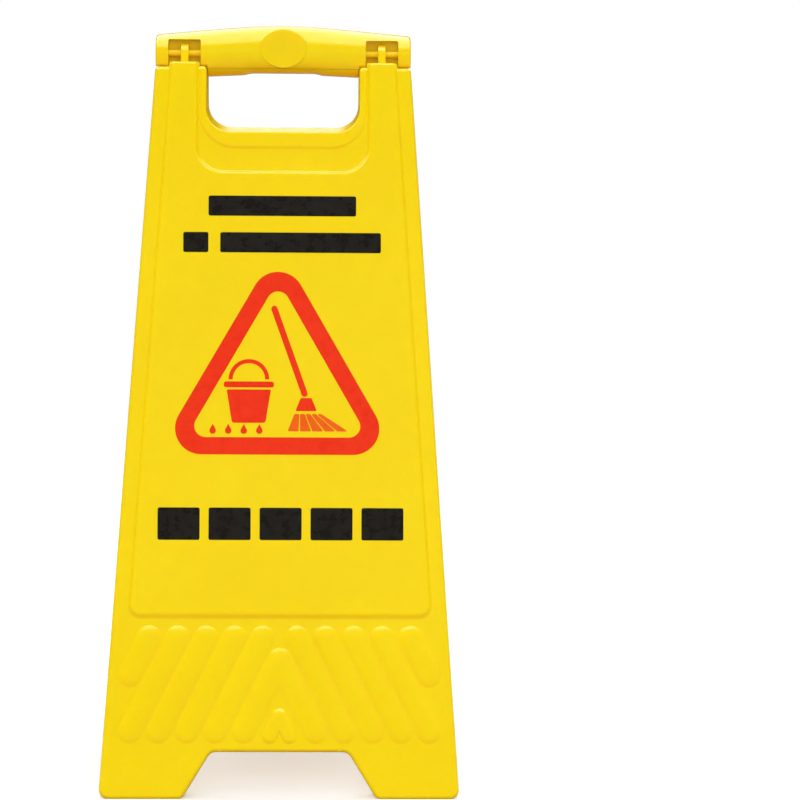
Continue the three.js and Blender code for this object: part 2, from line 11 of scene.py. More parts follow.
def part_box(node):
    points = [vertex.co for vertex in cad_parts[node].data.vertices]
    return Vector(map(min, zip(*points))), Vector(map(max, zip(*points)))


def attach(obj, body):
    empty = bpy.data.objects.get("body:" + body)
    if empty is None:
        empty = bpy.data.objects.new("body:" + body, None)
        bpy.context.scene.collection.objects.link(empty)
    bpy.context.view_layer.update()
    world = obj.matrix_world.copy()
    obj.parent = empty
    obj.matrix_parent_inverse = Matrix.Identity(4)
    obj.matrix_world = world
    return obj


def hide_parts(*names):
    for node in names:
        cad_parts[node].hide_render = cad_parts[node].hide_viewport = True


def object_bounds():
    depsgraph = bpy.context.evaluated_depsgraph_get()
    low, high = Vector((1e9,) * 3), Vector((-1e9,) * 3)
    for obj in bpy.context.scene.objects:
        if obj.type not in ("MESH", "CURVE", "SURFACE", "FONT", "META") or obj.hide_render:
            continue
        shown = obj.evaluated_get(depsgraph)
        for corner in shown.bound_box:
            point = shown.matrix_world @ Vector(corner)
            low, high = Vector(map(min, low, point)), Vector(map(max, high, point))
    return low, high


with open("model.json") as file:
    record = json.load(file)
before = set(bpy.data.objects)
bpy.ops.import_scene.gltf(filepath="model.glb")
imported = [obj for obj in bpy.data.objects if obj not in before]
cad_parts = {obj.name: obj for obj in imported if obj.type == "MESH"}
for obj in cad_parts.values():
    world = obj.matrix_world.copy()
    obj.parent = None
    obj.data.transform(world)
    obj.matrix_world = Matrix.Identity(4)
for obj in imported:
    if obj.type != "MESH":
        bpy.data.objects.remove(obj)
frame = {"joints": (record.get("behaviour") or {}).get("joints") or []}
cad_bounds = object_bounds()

# ---- Where the frame puts things ----
MM = 0.001
joints = {joint["name"]: joint for joint in frame["joints"]}
HINGE = Vector(joints["front_panel_hinge"]["pos_m"])
OPEN_ANGLE = math.radians(joints["front_panel_hinge"]["range_deg"][1])
HINGE_OUT = -HINGE.y / MM  # hinge axis from the sign's middle plane
pin_low, pin_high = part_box("hinge_pin_front_right")

# ---- Panel sizes in mm: x across, n out of the face, h up the face from the foot edge ----
FAR = 200  # how far the cutting shapes reach
FACE_OUT = 9.8  # face in front of the hinge axis
HINGE_UP = (HINGE.z / MM + FACE_OUT * math.sin(OPEN_ANGLE)) / math.cos(OPEN_ANGLE)
RIM = -17.8  # the back edge of the tray's walls
WALL = 2.4
EDGE = 3.4  # radius round the front of the face
FOOT_HALF_WIDTH = 150
SHOULDER_HALF_WIDTH = 108
SHOULDER_UP = 615
SIDE_SLOPE = (FOOT_HALF_WIDTH - SHOULDER_HALF_WIDTH) / SHOULDER_UP
TAB_UP = 618.5
TAB_X = (72.5, 94.3)
MOUTH_HALF_WIDTH = 64.5
MOUTH_UP = 559.5
MESSAGE_RAISE = 2.4
MESSAGE_LOW = 153.7
MESSAGE_MARGIN = 14
MESSAGE_HIGH = 525  # between the arms
LIP_RAISE = 1.3  # the lip round the hand opening
KNUCKLE_X = 83.4
KNUCKLE_WIDTH = 6.5
KNUCKLE_RADIUS = 8.3
KNUCKLE_BORE = 3.3
KNUCKLE_STEM = 45  # how far its stem runs down inside the arm
RIB_LEAN = math.tan(math.radians(26.8))
RIB_PITCH = 23.6
RIB_LOW = 56
RIB_HIGH = 134
RIB_OUTER_X = 124.4
STIFFENERS_UP = (247, 340, 433)
STIFFENERS_X = (-50, 50)
STIFFENERS_LOW = 40


# ---- Outlines ----
def unit(vector):
    return vector / np.linalg.norm(vector)


def arc(centre, radius, first, last, steps):
    """Points on an arc between two angles in degrees, ends included."""
    angles = np.radians(np.linspace(first, last, steps + 1))
    return np.array(centre) + radius * np.stack((np.cos(angles), np.sin(angles)), 1)


def rounded(corners):
    """Points round a closed outline. A corner is (x, y, radius, steps), a plain point if it has no steps."""
    points = []
    count = len(corners)
    for i, (x, y, radius, steps) in enumerate(corners):
        corner = np.array((x, y), float)
        if not steps:
            points.append(corner[None])
            continue
        back = unit(np.array(corners[i - 1][:2]) - corner)
        on = unit(np.array(corners[(i + 1) % count][:2]) - corner)
        half = math.acos(np.clip(back @ on, -1, 1)) / 2
        centre = corner + unit(back + on) * radius / math.sin(half)
        start = corner + back * radius / math.tan(half) - centre
        end = corner + on * radius / math.tan(half) - centre
        first = math.degrees(math.atan2(start[1], start[0]))
        turn = (math.degrees(math.atan2(end[1], end[0])) - first + 180) % 360 - 180
        points.append(arc(centre, radius, first, first + turn, steps))
    return np.concatenate(points)


def inset(corners, distances):
    """The corners with edge i, from corner i to the next, moved inwards by distances[i]."""
    distances = np.broadcast_to(distances, len(corners))
    places = np.array([corner[:2] for corner in corners], float)
    along = np.array([unit(d) for d in np.roll(places, -1, 0) - places])
    inward = np.stack((-along[:, 1], along[:, 0]), 1)
    moved = []
    for i, (x, y, radius, steps) in enumerate(corners):
        normals = np.array((inward[i - 1], inward[i]))
        reach = (normals * places[i]).sum(1) + (distances[i - 1], distances[i])
        turn = np.linalg.det(normals)
        if abs(turn) < 1e-6:
            place = places[i] + inward[i] * distances[i]
        else:
            place = np.linalg.solve(normals, reach)
        change = math.copysign(1, turn) * (distances[i - 1] + distances[i]) / 2
        moved.append((*place, max(radius - change, 0.3), steps))
    return moved


def mirrored(right):
    """A whole anticlockwise outline from its right half."""
    return right + [(-x, *rest) for x, *rest in reversed(right)]


def side_at(h):
    return FOOT_HALF_WIDTH - SIDE_SLOPE * h


def span(side, near, far):
    """Two distances from the middle as an ordered pair on one side of it, 1 or -1."""
    return sorted((side * near, side * far))


# ---- Meshes ----
def loft(rings):
    """A closed skin over rings of equal point count, with a flat cap on the first and the last."""
    count = len(rings[0])
    faces = []
    for start in range(0, count * (len(rings) - 1), count):
        for i in range(count):
            j = (i + 1) % count
            faces.append((start + i, start + j, start + count + j, start + count + i))
    faces.append(tuple(range(count))[::-1])
    faces.append(tuple(range(count * (len(rings) - 1), count * len(rings))))
    return np.concatenate(rings), faces


def solid(name, *skins):
    """One mesh object from closed skins, faces pointing out."""
    points, faces, start = [], [], 0
    for skin_points, skin_faces in skins:
        points.append(skin_points)
        faces += [tuple(start + i for i in face) for face in skin_faces]
        start += len(skin_points)
    mesh = bpy.data.meshes.new(name)
    mesh.from_pydata(np.concatenate(points).tolist(), [], faces)
    build = bmesh.new()
    build.from_mesh(mesh)
    bmesh.ops.recalc_face_normals(build, faces=build.faces)
    build.to_mesh(mesh)
    build.free()
    piece = bpy.data.objects.new(name, mesh)
    bpy.context.scene.collection.objects.link(piece)
    return piece


def combine(piece, *steps):
    """Applies boolean steps, each (operation, tool), and removes the tools."""
    for operation, tool in steps:
        modifier = piece.modifiers.new("combine", "BOOLEAN")
        modifier.operation = operation
        modifier.solver = "EXACT"
        modifier.object = tool
    apply_modifiers(piece)
    for _, tool in steps:
        bpy.data.objects.remove(tool)
    return piece


def apply_modifiers(piece):
    evaluated = piece.evaluated_get(bpy.context.evaluated_depsgraph_get())
    piece.data = bpy.data.meshes.new_from_object(evaluated)
    piece.modifiers.clear()


def on_face(outline, n):
    """Outline points (x, h) at height n, in panel space, where Y runs into the panel and Z up it."""
    heights = np.broadcast_to(n, len(outline))
    return np.stack((outline[:, 0], -heights, outline[:, 1]), 1)


def box_skin(low, high, edge=0.4):
    """A box from its lowest corner to its highest, with its four upright edges rounded."""
    (x0, y0, z0), (x1, y1, z1) = low, high
    outline = rounded([(x0, y0, edge, 3), (x1, y0, edge, 3), (x1, y1, edge, 3), (x0, y1, edge, 3)])
    return loft([np.c_[outline, np.full(len(outline), z)] for z in (z0, z1)])


# ---- Panel ----
PANEL_OUTLINE = mirrored([
    (57, 39, 8, 8),
    (81, 0, 7, 8),
    (FOOT_HALF_WIDTH, 0, 8, 10),
    (SHOULDER_HALF_WIDTH, SHOULDER_UP, 3.6, 8),
    (72.9, SHOULDER_UP, 0, 0),
    (MOUTH_HALF_WIDTH, SHOULDER_UP, 3.5, 6),
    (MOUTH_HALF_WIDTH, MOUTH_UP, 20, 14),
])
MOUTH_CORNERS = (5, 6, 7, 8)
MOUTH_SIDE_EDGES = (5, 7)
MOUTH_LOW_EDGE = 6
LIP_EDGE = 1.6  # radius round the lip's top
# The lip's slope, as (share of its height, inset at the mouth's sides, inset at the mouth's low edge).
LIP_SLOPE = ((1, 4.2, 11.9), (0.92, 4.9, 12.7), (0.5, 5.6, 13.6), (0.08, 6.4, 14.5), (0, 7.1, 15.3))


def under_floor(rise=0):
    """Everything under the floor of the open sign, or under a height above it, in panel space."""
    block = solid("under_floor", box_skin((-FAR, -FAR, -FAR), (FAR, FAR, rise)))
    block.data.transform(Matrix.Rotation(OPEN_ANGLE, 4, "X"))
    return block


def tray_ring(distance, n, lip_side, lip_low, lip_n):
    """One ring of the tray: inset by distance at height n, but by its own distances round the mouth."""
    distances = np.full(len(PANEL_OUTLINE), float(distance))
    distances[list(MOUTH_SIDE_EDGES)] = lip_side
    distances[MOUTH_LOW_EDGE] = lip_low
    corners = inset(PANEL_OUTLINE, distances)
    heights = []
    for i, (*_, steps) in enumerate(corners):
        heights += [lip_n if i in MOUTH_CORNERS else n] * (steps + 1)
    return on_face(rounded(corners), np.array(heights))


def tray():
    """The base moulding: a face with a rounded edge, walls behind it, and a raised lip at the mouth."""
    rings = [tray_ring(d, n, d, d, n) for d, n in ((0.5, RIM), (0.15, RIM + 0.15), (0, RIM + 0.5))]
    steps = 7
    for k in range(steps + 1):
        turn = math.radians(90 * k / steps)
        across, up = 1 - math.cos(turn), 1 - math.sin(turn)
        lip = LIP_EDGE * across
        rings.append(tray_ring(EDGE * across, -EDGE * up, lip, lip, LIP_RAISE - LIP_EDGE * up))
    for share, side, low in LIP_SLOPE:
        rings.append(tray_ring(EDGE + 0.3 * (1 - share), 0, side, low, LIP_RAISE * share))
    inner = [(WALL + 1.2, -WALL), (WALL + 0.35, -WALL - 0.35), (WALL, -WALL - 1.2), (WALL, RIM + 0.5),
             (WALL - 0.15, RIM + 0.15), (WALL - 0.5, RIM), (WALL - 0.5, RIM - 3)]
    hollow = solid("tray_hollow", loft([tray_ring(d, n, d, d, n) for d, n in inner]))
    combine(hollow, ("DIFFERENCE", under_floor(WALL)))
    return combine(solid("tray", loft(rings)), ("DIFFERENCE", hollow), ("DIFFERENCE", under_floor()))


MESSAGE_OUTLINE = mirrored([
    (side_at(MESSAGE_LOW) - MESSAGE_MARGIN, MESSAGE_LOW, 8, 10),
    (TAB_X[1], TAB_UP, 2.4, 6),
    (TAB_X[0], TAB_UP, 2.4, 6),
    (TAB_X[0], MESSAGE_HIGH, 22, 14),
])
# A raised edge as (outset, height): a soft foot, a drafted side and a rounded top.
MESSAGE_EDGE = [(1.9, -1.9), (1.9, -0.3), (1.35, 0.06), (0.95, 0.29), (0.6, 0.6), (0.2, 1.04), (-0.2, 1.49),
                (-0.6, 1.88), (-1.05, 2.17), (-1.6, 2.34), (-2.3, MESSAGE_RAISE)]
MESSAGE_FOOT = 7  # the outline's lowest edge
FOOT_SPREAD = 1.85  # how much wider the raised edge is there


def message_plate():
    top = MESSAGE_EDGE[-1][0]
    rings = []
    for outset, n in MESSAGE_EDGE:
        distances = np.full(len(MESSAGE_OUTLINE), -outset)
        distances[MESSAGE_FOOT] = -top - (outset - top) * FOOT_SPREAD
        outline = rounded(inset(MESSAGE_OUTLINE, distances))
        outline[:, 1] = np.minimum(outline[:, 1], TAB_UP + min(0.1, 0.5 * outset))
        rings.append(on_face(outline, n))
    return solid("message", loft(rings))


def message_hollow():
    """The recess behind the message face, so that its wall is no thicker than the rest."""
    outline = inset(MESSAGE_OUTLINE, WALL)
    shoulder = SHOULDER_UP - 8
    capped = [(x, min(h, shoulder), radius, steps) for x, h, radius, steps in outline]
    top = MESSAGE_RAISE - WALL
    edge = [(-0.4, -WALL - 3), (-0.2, -WALL + 0.3), (0.2, top - 0.6), (0.8, top - 0.1), (1.4, top)]
    return solid("hollow", loft([on_face(rounded(inset(capped, d)), n) for d, n in edge]))


# Each rib, as (half width, height), is wide and crowned, with a narrow valley between it and the next.
RIB_EDGE = [(10.4, -1.2), (10.4, -0.05), (9.9, 0.14), (9.2, 0.42), (8.4, 0.74), (7.4, 1.06), (6.2, 1.35),
            (4.8, 1.57), (3.2, 1.71), (1.6, 1.78), (0.5, 1.8)]
RIB_HOLLOW_EDGE = [(4.3, -WALL - 3), (4.1, -WALL + 0.3), (3.7, -1.2), (2.9, -0.7), (1.8, -0.5)]
SMALL_CHEVRON_SHARE = 0.65  # the lowest chevron is too short for the full width


def rib_lines():
    """Centre lines of the ribs as (x, h) points, each with its share of the full width."""
    run = RIB_LEAN * (RIB_HIGH - RIB_LOW)
    lines = []
    for i in range(6):
        low_x = RIB_OUTER_X - RIB_PITCH * i
        if low_x > run:
            for side in (1, -1):
                lines.append(([(side * low_x, RIB_LOW), (side * (low_x - run), RIB_HIGH)], 1))
        else:
            share = 1 if low_x > RIB_PITCH / 2 else SMALL_CHEVRON_SHARE
            drop = RIB_EDGE[0][0] * (1 - share)
            x, low = low_x + RIB_LEAN * drop, RIB_LOW - drop
            lines.append(([(-x, low), (0, RIB_LOW + low_x / RIB_LEAN), (x, low)], share))
    short_low = RIB_LOW + RIB_PITCH / RIB_LEAN
    short_x = RIB_OUTER_X - RIB_LEAN * (RIB_HIGH - short_low)
    for side in (1, -1):
        lines.append(([(side * RIB_OUTER_X, short_low), (side * short_x, RIB_HIGH)], 1))
    return lines


def swept(line, half_width):
    """The outline of a round-ended line of that half width, bent over the middle if it has three points."""
    steps = 10
    line = [np.array(point, float) for point in line]
    heading = [math.degrees(math.atan2(*(b - a)[::-1])) for a, b in zip(line, line[1:])]
    low_cap = arc(line[0], half_width, heading[0] + 90, heading[0] + 270, steps)
    high_cap = arc(line[-1], half_width, heading[-1] - 90, heading[-1] + 90, steps)
    if len(line) == 2:
        return np.concatenate((low_cap, high_cap))
    inner = line[1] - (0, half_width / math.cos(math.radians(heading[0])))
    outer = arc(line[1], half_width, heading[-1] + 90, heading[0] + 90, steps)
    return np.concatenate((low_cap, inner[None], high_cap, outer))


def ribs(name, edge):
    skins = [loft([on_face(swept(line, share * half), n) for half, n in edge]) for line, share in rib_lines()]
    return solid(name, *skins)


STIFFENER_TAPER = ((-0.2, 1.25), (-2.2, 1.15), (-10.6, 0.8), (-10.9, 0.6))  # (height, half thickness)


def stiffener_skin(low, high):
    """A thin tapering rib behind the face, between two (x, h) points that are level or upright."""
    thin = np.array(low) == high
    rings = []
    for n, half in STIFFENER_TAPER:
        (x0, h0), (x1, h1) = low - half * thin, high + half * thin
        rings.append(on_face(np.array([(x0, h0), (x1, h0), (x1, h1), (x0, h1)]), n))
    return loft(rings)


def stiffeners():
    reaches = [(side_at(h) - WALL / 2, h) for h in STIFFENERS_UP]
    across = solid("across", *(stiffener_skin((-reach, h), (reach, h)) for reach, h in reaches))
    up = solid("up", *(stiffener_skin((x, STIFFENERS_LOW), (x, MOUTH_UP - 1)) for x in STIFFENERS_X))
    return combine(across, ("UNION", up))


def knuckle_skin(x):
    """A flat eye round the pin, on a stem that runs down inside the arm."""
    stem_low = TAB_UP - KNUCKLE_STEM
    outline = np.concatenate((
        arc((-FACE_OUT, HINGE_UP), KNUCKLE_RADIUS, 0, 180, 24),
        [(-FACE_OUT - KNUCKLE_RADIUS, stem_low), (-FACE_OUT + KNUCKLE_RADIUS, stem_low)],
    ))
    middle = np.array((-FACE_OUT, HINGE_UP - 10))
    rings = []
    for across, shrink in ((-1, 0.6), (-0.94, 0.15), (-0.84, 0), (0.84, 0), (0.94, 0.15), (1, 0.6)):
        toward = middle - outline
        moved = outline + shrink * toward / np.linalg.norm(toward, axis=1)[:, None]
        place = np.full(len(moved), x + across * KNUCKLE_WIDTH / 2)
        rings.append(np.stack((place, -moved[:, 0], moved[:, 1]), 1))
    return loft(rings)


def tab_skin(side):
    low, high = span(side, TAB_X[0] + 0.5, TAB_X[1] - 0.5)
    return box_skin((low, 0.4, SHOULDER_UP - 4), (high, -RIM - 0.9, TAB_UP - 0.35), 1.2)


def bore_skin(half_length, radius, y, z):
    circle = arc((y, z), radius, 0, 360, 40)[:-1]
    return loft([np.c_[np.full(len(circle), x), circle] for x in (-half_length, half_length)])


def panel_mesh():
    """One panel in panel space, in mm."""
    return combine(
        tray(),
        ("UNION", message_plate()),
        ("UNION", ribs("ribs", RIB_EDGE)),
        ("DIFFERENCE", message_hollow()),
        ("DIFFERENCE", ribs("rib_hollows", RIB_HOLLOW_EDGE)),
        ("UNION", stiffeners()),
        ("UNION", solid("tabs", tab_skin(1), tab_skin(-1))),
        ("UNION", solid("knuckles", knuckle_skin(KNUCKLE_X), knuckle_skin(-KNUCKLE_X))),
        ("DIFFERENCE", solid("bore", bore_skin(FAR, KNUCKLE_BORE, FACE_OUT, HINGE_UP))),
    )


# ---- Printed graphics, as thin skins on the message face ----
INK = (MESSAGE_RAISE - 0.02, MESSAGE_RAISE + 0.07)  # heights of a print's back and face


def ink_skin(outline):
    return loft([on_face(outline, n) for n in INK])


def bar(x0, x1, middle, height, radius=1.6):
    h0, h1 = middle - height / 2, middle + height / 2
    return rounded([(x0, h0, radius, 6), (x1, h0, radius, 6), (x1, h1, radius, 6), (x0, h1, radius, 6)])


def triangle(side, low, radius):
    top = low + side * math.sqrt(3) / 2
    return rounded([(-side / 2, low, radius, 16), (side / 2, low, radius, 16), (0, top, radius, 16)])


def triangle_skin():
    """The warning triangle: a band between two rounded triangles."""
    side, low, band = 203, 286.4, 14.5
    outer = triangle(side, low, 22)
    inner = triangle(side - 2 * math.sqrt(3) * band, low + band, 9.5)
    rings = zip((outer, outer, inner, inner), INK + INK[::-1])
    points = np.concatenate([on_face(ring, n) for ring, n in rings])
    count = len(outer)
    faces = []
    for ring in range(4):
        for i in range(count):
            j = (i + 1) % count
            after = (ring + 1) % 4 * count
            faces.append((ring * count + i, ring * count + j, after + j, after + i))
    return points, faces


def bucket_skins():
    """A tapered pail, its rim and its arched bail, with stencil gaps between them."""
    x, low, high, rim_half = -24, 313, 341, 21
    body = rounded([(x - 14, low, 2.5, 6), (x + 14, low, 2.5, 6),
                    (x + 18.5, high, 0.8, 3), (x - 18.5, high, 0.8, 3)])
    rim = bar(x - rim_half, x + rim_half, 345.2, 5, 2)
    bail = np.concatenate((arc((x, 349.5), 17, 0, 180, 28), arc((x, 349.5), 13.6, 180, 0, 28)))
    return [ink_skin(shape) for shape in (body, rim, bail)]


def mop_pole_skins():
    """A leaning pole and the cup that holds the head."""
    cup = rounded([(15, 323, 1, 4), (33, 323, 1, 4), (28.5, 334, 1.2, 4), (19.5, 334, 1.2, 4)])
    return [ink_skin(swept([(22.6, 337.6), (-3, 409)], 2.6)), ink_skin(cup)]


def mop_head_skins():
    """Strands fanned out on the floor, split by narrow gaps."""
    top, low = np.array(((14.0, 320.6), (37.0, 320.6))), np.array(((8.0, 306.0), (60.0, 306.0)))
    strands = 5
    skins = []
    for i in range(strands):
        shares = np.array((i + 0.06, i + 0.94)) / strands
        upper, lower = (edge[0] + np.outer(shares, edge[1] - edge[0]) for edge in (top, low))
        corners = (lower[0], lower[1], upper[1], upper[0])
        skins.append(ink_skin(rounded([(*corner, 0.7, 3) for corner in corners])))
    return skins


def splash_skins(x):
    """A drop: round below, pointed above."""
    centre, radius = (x, 306.4), 2.7
    drop = np.concatenate((arc(centre, radius, 155, 385, 20), [(x, centre[1] + 5.6)]))
    return [ink_skin(drop)]


HEADLINES = ((-62, 62, 496), (-83, -62, 465), (-52, 83, 465))  # from x, to x, middle
HEADLINE_HEIGHT = 17
LOWER_BARS_X = (-85, -42.5, 0, 42.5, 85)
LOWER_BAR_HALF_WIDTH, LOWER_BAR_HEIGHT, LOWER_BAR_MIDDLE = 17.5, 27, 228.5
SPLASHES_X = (-54, -41, -28, -15)
SYMBOLS_X = -3.2  # the symbols are printed a little off the middle


def prints():
    """Each printed shape as (the CAD node it stands for, its skins, its material)."""
    shapes = [
        ("warning_triangle", [triangle_skin()], "red_film"),
        ("bucket_symbol", bucket_skins(), "red_film"),
        ("mop_pole_symbol", mop_pole_skins(), "red_film"),
        ("mop_head_symbol", mop_head_skins(), "orange_film"),
    ]
    for i, x in enumerate(SPLASHES_X):
        shapes.append((f"splash_symbol_{i + 1}", splash_skins(x), "red_film"))
    shapes = [(node, [(points + (SYMBOLS_X, 0, 0), faces) for points, faces in skins], slot)
              for node, skins, slot in shapes]
    for i, (x0, x1, middle) in enumerate(HEADLINES):
        outline = bar(x0, x1, middle, HEADLINE_HEIGHT)
        shapes.append((f"headline_bar_{i + 1}", [ink_skin(outline)], "black_film"))
    for i, x in enumerate(LOWER_BARS_X):
        outline = bar(x - LOWER_BAR_HALF_WIDTH, x + LOWER_BAR_HALF_WIDTH, LOWER_BAR_MIDDLE, LOWER_BAR_HEIGHT)
        shapes.append((f"lower_bar_{i + 1}", [ink_skin(outline)], "black_film"))
    return shapes


# ---- Handle sizes in mm: x along the grip, heights from the hinge axis ----
HANDLE_HALF_LENGTH = 108
HANDLE_HALF_DEPTH = 20
GRIP_HALF_LENGTH = 64.1  # the deep part, between the panels' arms
GRIP_TOP, GRIP_TOP_END, GRIP_TOP_BLEND = 23.2, 15.1, 0.25  # the blend rounds its peak
GRIP_BOTTOM, GRIP_BOTTOM_STEP, GRIP_BOTTOM_END = -17.2, -18.9, -20.2
FINGER_RECESS = (25, 36)  # where its bottom steps down to each side
SECTION_POWERS = (2.6, 2.15)  # of its superellipse, below and above the middle
HANDLE_WALL = 3
CAVITY_HALF_LENGTH = 60
END_UNDERSIDE = -11.2
END_UNDERSIDE_RADIUS = 5
POCKET = (69.8, 97.2)
POCKET_ROOF = 11.5
POCKET_WEB = 1.4  # half the wall between the front and rear pockets
PARTING = -12.5  # between the upper shell and the cover
PARTING_GAP = 0.08
PIN_HOLE_RADIUS = 3.15
PIN_HOLE_START = 63.8
PAD_HALF_WIDTH, PAD_HALF_HEIGHT, PAD_MIDDLE, PAD_FACE, PAD_CROWN = 20, 16.5, 4.7, 20.4, 0.6
SCREW_X = 53
SCREW_SEAT = -15.6
SCREW_HOLE_RADIUS = 1.8
COUNTERBORE_RADIUS = 4.1
COVER_LIP_HALF_LENGTH, COVER_LIP_HALF_WIDTH, COVER_LIP_WALL = 59.6, 10, 1.8
COVER_LIP_LOW = -16  # buried in the cover's wall
COVER_LIP_HEIGHT = 1.6  # above the parting
BOTH = (-1, 1)


def grip_ring(x, shrink):
    """One section of the grip, a superellipse that is taller in the middle, shrunk all round."""
    ramp = np.hypot(x / HANDLE_HALF_LENGTH, GRIP_TOP_BLEND) - GRIP_TOP_BLEND
    share = ramp / (np.hypot(1, GRIP_TOP_BLEND) - GRIP_TOP_BLEND)
    top = GRIP_TOP + (GRIP_TOP_END - GRIP_TOP) * share
    step = np.clip((abs(x) - FINGER_RECESS[0]) / (FINGER_RECESS[1] - FINGER_RECESS[0]), 0, 1)
    outside = np.clip((abs(x) - FINGER_RECESS[1]) / (GRIP_HALF_LENGTH - FINGER_RECESS[1]), 0, 1)
    outer = GRIP_BOTTOM_STEP + (GRIP_BOTTOM_END - GRIP_BOTTOM_STEP) * outside
    bottom = GRIP_BOTTOM + (outer - GRIP_BOTTOM) * step * step * (3 - 2 * step)
    angles = np.linspace(0, 2 * math.pi, 128, endpoint=False)
    power = np.where(np.sin(angles) > 0, SECTION_POWERS[1], SECTION_POWERS[0])
    across, up = (np.sign(v) * np.abs(v) ** (2 / power) for v in (np.cos(angles), np.sin(angles)))
    reach = np.where(up > 0, top - shrink, -bottom - shrink)
    return np.stack((np.full(len(angles), x), across * (HANDLE_HALF_DEPTH - shrink), up * reach), 1)


def grip_form(name, half_length, wall, end_radius):
    """The grip's form to a half length, with rounded ends."""
    straight = half_length - end_radius
    stations = np.unique(np.concatenate((np.arange(0, straight, 4), np.arange(22, 40, 1.25), [straight])))
    places = [(x, wall) for x in stations[stations <= straight]]
    for turn in np.radians((22.5, 45, 67.5, 90)):
        places.append((straight + end_radius * math.sin(turn), wall + end_radius * (1 - math.cos(turn))))
    whole = [(-x, shrink) for x, shrink in places[:0:-1]] + places
    return solid(name, loft([grip_ring(x, shrink) for x, shrink in whole]))


def pad():
    """The blank oval pad on both sides of the grip: a crisp rounded rim and a gently crowned face."""
    angles = np.linspace(0, 2 * math.pi, 96, endpoint=False)
    edge = [(0, 1.1), (0.1, 0.62), (0.34, 0.25), (0.75, 0.04), (1.2, 0)]
    profile = edge + [(distance, 0) for distance in (4, 8, 12, 15.5)]
    half = []
    for distance, drop in profile:
        x = (PAD_HALF_WIDTH - distance) * np.cos(angles)
        z = PAD_MIDDLE + (PAD_HALF_HEIGHT - distance) * np.sin(angles)
        half.append((x, PAD_FACE - drop + PAD_CROWN * (1 - (x / PAD_HALF_WIDTH) ** 2), z))
    front = [np.stack((x, -y, z), 1) for x, y, z in reversed(half)]
    back = [np.stack((x, y, z), 1) for x, y, z in half]
    return solid("pad", loft(front + back))


def rod_skin(radius, low, high, axis):
    """A round bar between two points that differ along one axis, 0 for x or 2 for z."""
    circle = np.insert(arc((0, 0), radius, 0, 360, 48)[:-1], axis, 0, 1)
    return loft([circle + low, circle + high])


def rods_at_screws(name, radius, low, high):
    skins = [rod_skin(radius, (end * SCREW_X, 0, low), (end * SCREW_X, 0, high), 2) for end in BOTH]
    return solid(name, *skins)


def pockets():
    """Where the knuckles and tabs swing, open to the front or back and below."""
    skins = []
    for side in BOTH:
        for end in BOTH:
            x0, x1 = span(end, *POCKET)
            outline = rounded([(x0, -FAR, 0, 0), (x1, -FAR, 0, 0),
                               (x1, POCKET_ROOF, 1.4, 5), (x0, POCKET_ROOF, 1.4, 5)])
            skins.append(loft([np.insert(outline, 1, side * y, 1) for y in (POCKET_WEB, FAR)]))
    return solid("pockets", *skins)


def pin_holes():
    skins = []
    for side in BOTH:
        for end in BOTH:
            inner, outer = ((end * x, side * HINGE_OUT, 0) for x in (PIN_HOLE_START, FAR))
            skins.append(rod_skin(PIN_HOLE_RADIUS, inner, outer, 0))
    return solid("pin_holes", *skins)


def soften(piece, width):
    """Rounds the hard edges that booleans leave, by a width in mm."""
    modifier = piece.modifiers.new("soften", "BEVEL")
    modifier.width = width
    modifier.segments = 2
    modifier.limit_method = "ANGLE"
    modifier.angle_limit = math.radians(48)
    apply_modifiers(piece)


def slab(name, low, high):
    """Everything round the handle between two heights."""
    return solid(name, box_skin((-FAR, -FAR, low), (FAR, FAR, high)))


def under_ends():
    """What is cut away under the handle's ends, leaving them a rounded underside."""
    start = END_UNDERSIDE + END_UNDERSIDE_RADIUS
    corner = arc((HANDLE_HALF_DEPTH - END_UNDERSIDE_RADIUS, start), END_UNDERSIDE_RADIUS, 0, -90, 12)
    outline = np.concatenate((
        [(-FAR, -FAR), (FAR, -FAR), (FAR, start)], corner, corner[::-1] * (-1, 1), [(-FAR, start)]))
    return solid("under_ends", *(
        loft([np.insert(outline, 0, x, 1) for x in span(end, GRIP_HALF_LENGTH, FAR)]) for end in BOTH))


def upper_shell():
    shell = combine(
        grip_form("upper_shell", HANDLE_HALF_LENGTH, 0, 2.6),
        ("UNION", pad()),
        ("DIFFERENCE", pockets()),
        ("DIFFERENCE", under_ends()),
    )
    soften(shell, 0.45)
    return combine(
        shell,
        ("DIFFERENCE", grip_form("cavity", CAVITY_HALF_LENGTH, HANDLE_WALL, 1)),
        ("DIFFERENCE", pin_holes()),
        ("DIFFERENCE", slab("below", -FAR, PARTING + PARTING_GAP)),
    )


def cover_lip():
    """The wall that locates the cover inside the upper shell."""
    boxes = []
    for inside, low, high in ((0, COVER_LIP_LOW, PARTING + COVER_LIP_HEIGHT), (COVER_LIP_WALL, -FAR, FAR)):
        length, width = COVER_LIP_HALF_LENGTH - inside, COVER_LIP_HALF_WIDTH - inside
        boxes.append(solid("lip", box_skin((-length, -width, low), (length, width, high), 2)))
    limit = grip_form("lip_limit", CAVITY_HALF_LENGTH, HANDLE_WALL / 2, 1)
    combine(limit, ("UNION", slab("over", PARTING, FAR)))
    return combine(boxes[0], ("DIFFERENCE", boxes[1]), ("INTERSECT", limit))


